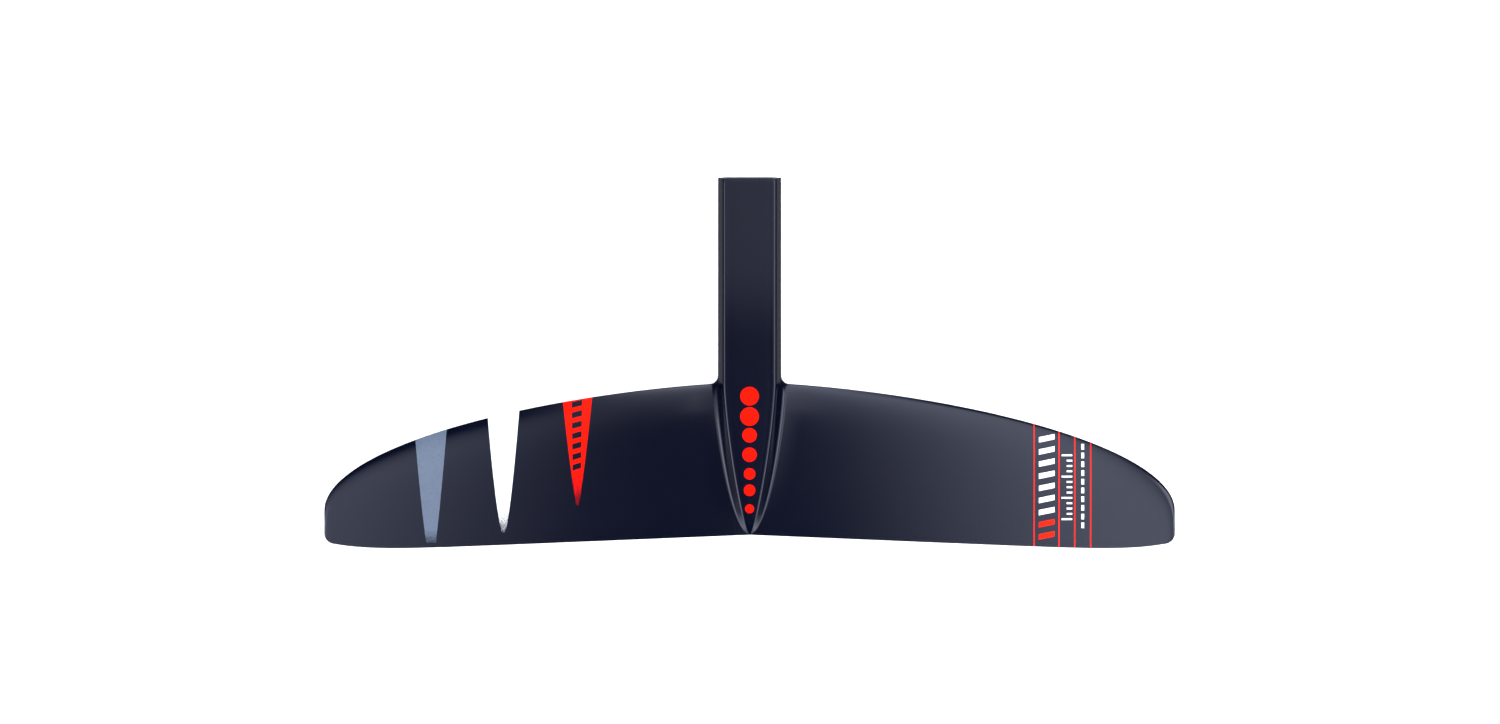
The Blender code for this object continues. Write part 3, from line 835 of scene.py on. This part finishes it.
def add_flash(name, centre_x, half_width, end_y, tip_y, power, material):
    """A flash from the leading edge that narrows towards tip_y, and is cut off at end_y."""
    rows = []
    for along in [share**FLASH_POWER for share in steps(0.0, 1.0, FLASH_ROWS)]:
        row = []
        for across in steps(-1.0, 1.0, FLASH_COLUMNS):
            start_y = chord_point(centre_x + half_width * across, FLASH_START)
            y = start_y + (end_y - start_y) * along
            share = max((y - tip_y) / (start_y - tip_y), 0.0) ** power
            x = centre_x + half_width * share * across
            row.append((x, y, wing_top(x, y)))
        rows.append(row)
    add_film(name, rows, material)


def add_pinstripe(name, centre_x, material):
    rows = []
    for turn in steps(0, math.pi / 2, 40):
        s = PINSTRIPE_MARGIN + (1 - 2 * PINSTRIPE_MARGIN) * (1 - math.cos(turn))
        row = [centre_x + PINSTRIPE_WIDTH * across for across in (-0.5, 0.0, 0.5)]
        rows.append([(x, chord_point(x, s), wing_top(x, chord_point(x, s))) for x in row])
    add_film(name, rows, material)


def add_bar(name, centre, size, slant, material, lift=FILM_LIFT):
    """A bar across the pinstripes' lane or a flash, its ends slanted along the chord."""
    rows = []
    for along in steps(0.5, -0.5, 4):
        row = []
        for across in steps(-0.5, 0.5, 8):
            x, y = centre[0] + size[0] * across, centre[1] + size[1] * along + slant * across
            row.append((x, y, wing_top(x, y)))
        rows.append(row)
    add_film(name, rows, material, lift)


def add_dot(name, centre_y, radius, material):
    """A round dot on the flat top of the fairing."""
    mesh = bmesh.new()
    sides, rings = 64, 6
    turns = steps(0, 2 * math.pi, sides)[:-1]
    layers = []
    for lift in (FILM_LIFT, FILM_LIFT - FILM_DEPTH):
        layer = []
        for ring in range(rings, 0, -1):
            out = radius * ring / rings
            points = [(out * math.cos(t), centre_y + out * math.sin(t)) for t in turns]
            layer.append([mesh.verts.new((x, y, body_half_height(y) + lift)) for x, y in points])
        layer.append([mesh.verts.new((0.0, centre_y, body_half_height(centre_y) + lift))])
        layers.append(layer)
    for layer in layers:
        for first, second in zip(layer, layer[1:]):
            for i in range(sides):
                j = (i + 1) % sides
                corners = [first[i], first[j], second[j % len(second)], second[i % len(second)]]
                mesh.faces.new(list(dict.fromkeys(corners)))
    for i in range(sides):
        j = (i + 1) % sides
        mesh.faces.new([layers[0][0][i], layers[0][0][j], layers[1][0][j], layers[1][0][i]])
    add_piece(name, mesh, material)


def places(row):
    """Where the bars of a row lie along Y."""
    count, first, pitch = row
    return [(first - pitch * number) * MM for number in range(count)]


def add_print(lacquer):
    red, white = print_ink("red_ink", RED, tint=RED_SHINE), print_ink("white_ink", WHITE)
    add_flash("grey_flash", *GREY_FLASH, print_ink("blue_grey_ink", BLUE_GREY, GREY_FADE))
    add_flash("white_flash", *WHITE_FLASH, print_ink("white_ink_worn", WHITE, WHITE_FADE))
    add_flash("red_flash", *RED_FLASH, print_ink("red_ink_worn", RED, RED_FADE, RED_SHINE))
    for number, y in enumerate(places(MARK_ROW)):
        size = ((MARK_WIDTH - MARK_NARROWING * number) * MM, MARK_LENGTH)
        add_bar(f"red_flash_mark_{number + 1}", (MARK_X, y), size, MARK_SLANT, lacquer,
                FILM_LIFT + MARK_LIFT)

    for number, (y, radius) in enumerate(DOTS, 1):
        add_dot(f"fairing_dot_{number}", y * MM, radius * MM, red)

    for number, x in enumerate(PINSTRIPES, 1):
        add_pinstripe(f"pinstripe_{number}", x * MM, red)
    for number, y in enumerate(places(LANE_ROW)):
        ink = red if number >= LANE_ROW[0] - RED_BARS else white
        add_bar(f"lane_bar_{number + 1}", (LANE_X, y), LANE_SIZE, LANE_SLANT, ink)
    for number, y in enumerate(places(TICK_ROW)):
        width = LONG_TICK if number % 4 == 0 else SHORT_TICK
        centre_x = TICK_X + (LONG_TICK - width) / 2
        add_bar(f"scale_tick_{number + 1}", (centre_x, y), (width, TICK_LENGTH), 0.0, white)
    for number, y in enumerate(places(DASH_ROW)):
        add_bar(f"dash_{number + 1}", (DASH_X, y), DASH_SIZE, 0.0, white)


# ---------------------------------------------------------------- the socket

def bridge(mesh, first, second):
    for i in range(len(first)):
        j = (i + 1) % len(first)
        mesh.faces.new([first[i], first[j], second[j], second[i]])


def body_shape(inset, corner):
    """The stub's section moved inwards: its half width at the parting plane and at the ridge, its
    half height and its corner radius."""
    slope = (BODY_WIDTH / 2 - RIDGE_HALF) / (BODY_HEIGHT / 2)
    base, top = BODY_WIDTH / 2 - inset * math.hypot(1, slope), BODY_HEIGHT / 2 - inset
    return base, base - slope * top, top, corner


def box_shape(inset, corner):
    """A rectangle in the same four measures, this far inside the stub's widest part."""
    width = BODY_WIDTH / 2 - inset
    return width, width, BODY_HEIGHT / 2 - inset, corner


def shape_loop(mesh, shape, y, grown=0.0):
    """A closed ring of points around a section, moved outwards by grown."""
    base, ridge, top, corner = shape
    lean = math.atan2(base - ridge, top)
    centre_x, centre_z = ridge - corner * math.tan((math.pi / 2 - lean) / 2), top - corner
    reach = corner + grown
    upper = [(base + grown / math.cos(lean), 0.0)]
    for turn in steps(lean, math.pi / 2, CORNER_STEPS):
        upper.append((centre_x + reach * math.cos(turn), centre_z + reach * math.sin(turn)))
    upper += [(-x, z) for x, z in reversed(upper[1:])]
    return [mesh.verts.new((x, y, z)) for x, z in upper + [(-x, -z) for x, z in upper]]


def add_tube(name, outer, inner, front_y, back_y, ease, material):
    """A tube between two sections, with both edges of its mouth eased."""
    mesh = bmesh.new()
    turns = steps(0, math.pi / 2, 4)
    loops = [shape_loop(mesh, outer, back_y)]
    for turn in turns:
        back, inwards = ease * (1 - math.sin(turn)), ease * (1 - math.cos(turn))
        loops.append(shape_loop(mesh, outer, front_y - back, -inwards))
    for turn in turns:
        back, outwards = ease * (1 - math.cos(turn)), ease * (1 - math.sin(turn))
        loops.append(shape_loop(mesh, inner, front_y - back, outwards))
    loops.append(shape_loop(mesh, inner, back_y))
    for first, second in zip(loops, loops[1:] + loops[:1]):
        bridge(mesh, first, second)
    return add_piece(name, mesh, material)


def add_block(name, sections, material):
    """A solid through sections, each (shape, y)."""
    mesh = bmesh.new()
    loops = [shape_loop(mesh, shape, y) for shape, y in sections]
    for first, second in zip(loops, loops[1:]):
        bridge(mesh, first, second)
    mesh.faces.new(loops[0])
    mesh.faces.new(loops[-1])
    return add_piece(name, mesh, material)


SLEEVE_INSET, SLEEVE_WALL = 1.1 * MM, 3.2 * MM
SLEEVE_BORE_INSET = SLEEVE_INSET + SLEEVE_WALL
LINER_INSET, LINER_WALL = 4.6 * MM, 0.8 * MM
BORE_INSET = LINER_INSET + LINER_WALL
LAYER_CORNER, STOP_CORNER, STOP_RIM_CORNER = 0.6 * MM, 0.7 * MM, 0.5 * MM
SLEEVE_EASE, LINER_EASE, BOND_EASE = 0.12 * MM, 0.3 * MM, 0.02 * MM
CARBON_TOW, GLASS_TOW = 1.0 * MM, 0.7 * MM

# How far each layer stands back from the mouth
SLEEVE_SETBACK, LINER_SETBACK = 0.05 * MM, 0.1 * MM
OUTER_BOND_SETBACK, INNER_BOND_SETBACK = 0.25 * MM, 0.3 * MM
BOND_BACK_Y, BOND_GAP = MOUTH_Y - 6 * MM, 0.02 * MM

# The stop's plug stands in the lining with a gap all round, and its face has an eased rim
STOP_GAP, STOP_RIM, STOP_PLUG = 0.3 * MM, 0.25 * MM, 1.0 * MM


def add_socket():
    carbon = woven("carbon_twill", (0.006, 0.006, 0.007), (0.045, 0.047, 0.052), 0.36, CARBON_TOW)
    glass = woven("glass_twill", (0.20, 0.27, 0.19), (0.42, 0.50, 0.38), 0.34, GLASS_TOW)
    resin = bonding_resin()
    sleeve = add_tube("socket_tube", body_shape(SLEEVE_INSET, LAYER_CORNER),
                      box_shape(SLEEVE_BORE_INSET, LAYER_CORNER),
                      MOUTH_Y - SLEEVE_SETBACK, SLEEVE_BACK_Y, SLEEVE_EASE, carbon)
    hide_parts("socket_sleeve")
    liner = add_tube("socket_lining", box_shape(LINER_INSET, LAYER_CORNER),
                     box_shape(BORE_INSET, LAYER_CORNER),
                     MOUTH_Y - LINER_SETBACK, STOP_Y + STOP_GAP, LINER_EASE, glass)
    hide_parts("socket_liner")
    plug = BORE_INSET + STOP_GAP
    stop = add_block("socket_stop_block", [
        (box_shape(plug + STOP_RIM, STOP_RIM_CORNER), STOP_Y),
        (box_shape(plug, STOP_CORNER), STOP_Y - STOP_RIM),
        (box_shape(plug, STOP_CORNER), STOP_Y - STOP_PLUG),
        (box_shape(LINER_INSET, STOP_CORNER), STOP_Y - STOP_PLUG),
        (box_shape(LINER_INSET, STOP_CORNER), SLEEVE_BACK_Y),
    ], carbon)
    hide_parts("socket_end_stop")
    add_tube("outer_bond_line", body_shape(SKIN + BOND_GAP, LAYER_CORNER),
             body_shape(SLEEVE_INSET - BOND_GAP, LAYER_CORNER),
             MOUTH_Y - OUTER_BOND_SETBACK, BOND_BACK_Y, BOND_EASE, resin)
    add_tube("inner_bond_line", box_shape(SLEEVE_BORE_INSET + BOND_GAP, LAYER_CORNER),
             box_shape(LINER_INSET - BOND_GAP, LAYER_CORNER),
             MOUTH_Y - INNER_BOND_SETBACK, BOND_BACK_Y, BOND_EASE, resin)
    return sleeve, liner


# ---------------------------------------------------------------- clamp screws

SCREW_R, THREAD_PITCH, THREAD_DEPTH = 3.0 * MM, 1.0 * MM, 0.5626 * MM
GROOVE_HALF, GROOVE_POWER = 0.44, 0.9    # half width of the thread's groove, as a share of the pitch
CHAMFER_LENGTH, CHAMFER_DEPTH = 0.55 * MM, 0.45 * MM
SCREW_SIDES, SCREW_LEVELS = 60, 84
KEY_RADIUS, KEY_DEPTH, DRILL_POINT = 1.5 * MM / math.cos(math.pi / 6), 2.6 * MM, 0.55 * MM

# The key's recess, from the screw's end face inwards: radius, depth and roundness of each ring
RECESS = [
    (2.15 * MM, 0.0, 1.0),
    (KEY_RADIUS * 1.06, 0.0, 1.0),
    (KEY_RADIUS, 0.16 * MM, 0.12),
    (KEY_RADIUS, 0.32 * MM, 0.0),
    (KEY_RADIUS, KEY_DEPTH, 0.0),
    (KEY_RADIUS * 0.7, KEY_DEPTH + 0.15 * MM, 0.5),
]
BUSH_R, BUSH_BORE_R, BUSH_SIDES = 5.0 * MM, 3.1 * MM, 96
BUSH_EASE, BUSH_RIM, BUSH_CLEARANCE = 0.35 * MM, 0.12 * MM, 0.05 * MM
METAL_SHARP = 30               # edges of a metal piece sharper than this, in degrees, are shaded sharp


def thread_radius(z, turn, length):
    """Radius of a real thread at height z and angle turn, run out into the chamfers at both ends."""
    phase = (z / THREAD_PITCH - turn / (2 * math.pi)) % 1.0
    groove = max(0.0, 1 - abs(phase - 0.5) / GROOVE_HALF) ** GROOVE_POWER
    inside = min(z, length - z) / CHAMFER_LENGTH
    limit = SCREW_R - CHAMFER_DEPTH * max(0.0, 1 - inside)
    return min(SCREW_R - THREAD_DEPTH * groove, limit)


def add_screw(place, steel):
    """An M6 flat-point screw with a real thread and a hexagon socket, point up."""
    low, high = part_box(f"{place}_clamp_screw")
    centre_y, base_z, length = (low[1] + high[1]) / 2, low[2], high[2] - low[2]
    turns = [2 * math.pi * i / SCREW_SIDES for i in range(SCREW_SIDES)]
    mesh = bmesh.new()

    def point(radius, turn, z):
        y = centre_y + radius * math.sin(turn)
        return mesh.verts.new((radius * math.cos(turn), y, base_z + z))

    def cap(ring, z):
        """Closes a ring with a fan around a point on the screw's axis."""
        middle = point(0.0, 0.0, z)
        for i in range(SCREW_SIDES):
            mesh.faces.new([ring[i - 1], ring[i], middle])

    def hexagon(radius, z, roundness):
        """A ring that goes from a circle (roundness 1) to a hexagon (0)."""
        ring = []
        for turn in turns:
            flat = math.cos(math.pi / 6) / math.cos((turn % (math.pi / 3)) - math.pi / 6)
            ring.append(point(radius * (flat + (1 - flat) * roundness), turn, z))
        return ring

    thread = []
    for z in steps(0.0, length, SCREW_LEVELS):
        thread.append([point(thread_radius(z, turn, length), turn, z) for turn in turns])
    recess = [hexagon(*ring) for ring in RECESS]
    chain = recess[::-1] + thread
    for first, second in zip(chain, chain[1:]):
        bridge(mesh, first, second)
    cap(thread[-1], length)
    cap(recess[-1], KEY_DEPTH + DRILL_POINT)
    screw = add_piece(f"{place}_threaded_screw", mesh, steel, f"{place}_screw",
                      METAL_SHARP)
    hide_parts(f"{place}_clamp_screw")


def add_bush(place, bronze):
    """The bush, with a plain bore for its thread, eased at both ends of the bore and at its rim."""
    low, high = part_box(f"{place}_screw_bush")
    length, centre_y = high[2] - low[2], (low[1] + high[1]) / 2
    half = [(BUSH_R, BUSH_RIM), (BUSH_R - BUSH_RIM, 0.0)]
    half += [(BUSH_BORE_R + BUSH_EASE, 0.0), (BUSH_BORE_R, BUSH_EASE)]
    profile = half + [(radius, length - z) for radius, z in reversed(half)]
    turns = [2 * math.pi * (i + 0.5) / BUSH_SIDES for i in range(BUSH_SIDES)]
    mesh = bmesh.new()
    rings = []
    for radius, z in profile:
        points = [(radius * math.cos(t), centre_y + radius * math.sin(t), low[2] + z) for t in turns]
        rings.append([mesh.verts.new(point) for point in points])
    for first, second in zip(rings, rings[1:] + rings[:1]):
        bridge(mesh, first, second)
    bush = add_piece(f"{place}_bronze_bush", mesh, bronze, sharp=METAL_SHARP)
    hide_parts(f"{place}_screw_bush")
    return centre_y


# ---------------------------------------------------------------- the scene

def paint_hidden_pieces():
    """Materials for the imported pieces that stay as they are, inside the shells."""
    foam, glass = closed_cell_foam(), glass_strip()
    fibres = straight_fibres("carbon_rovings", (0.006, 0.006, 0.007), (0.040, 0.042, 0.046))
    finishes = {"core": foam, "web": foam, "cap": fibres, "roving": fibres, "strip": glass}
    for name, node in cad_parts.items():
        finish = finishes.get(name.rsplit("_", 1)[-1])
        if finish:
            node.data.materials.clear()
            node.data.materials.append(finish)


def main():
    add_camera()
    add_stage()
    add_lights()
    add_world()
    bpy.context.scene.view_settings.view_transform = "Standard"

    lacquer = navy_lacquer()
    add_shell("upper_shell", 1, lacquer, "upper_skin")
    lower = add_shell("lower_shell", -1, lacquer, "lower_skin")
    sleeve, liner = add_socket()
    steel = turned_metal("turned_stainless", (0.46, 0.47, 0.48), (0.60, 0.61, 0.62), 0.30)
    bronze = turned_metal("turned_bronze", (0.42, 0.27, 0.12), (0.58, 0.41, 0.20), 0.34)
    for place in ("front", "rear"):
        y = add_bush(place, bronze)
        add_screw(place, steel)
        for wall in (lower, sleeve, liner):
            drill(wall, f"{place}_bush_hole", BUSH_R + BUSH_CLEARANCE, y)
    add_print(lacquer)
    paint_hidden_pieces()


main()
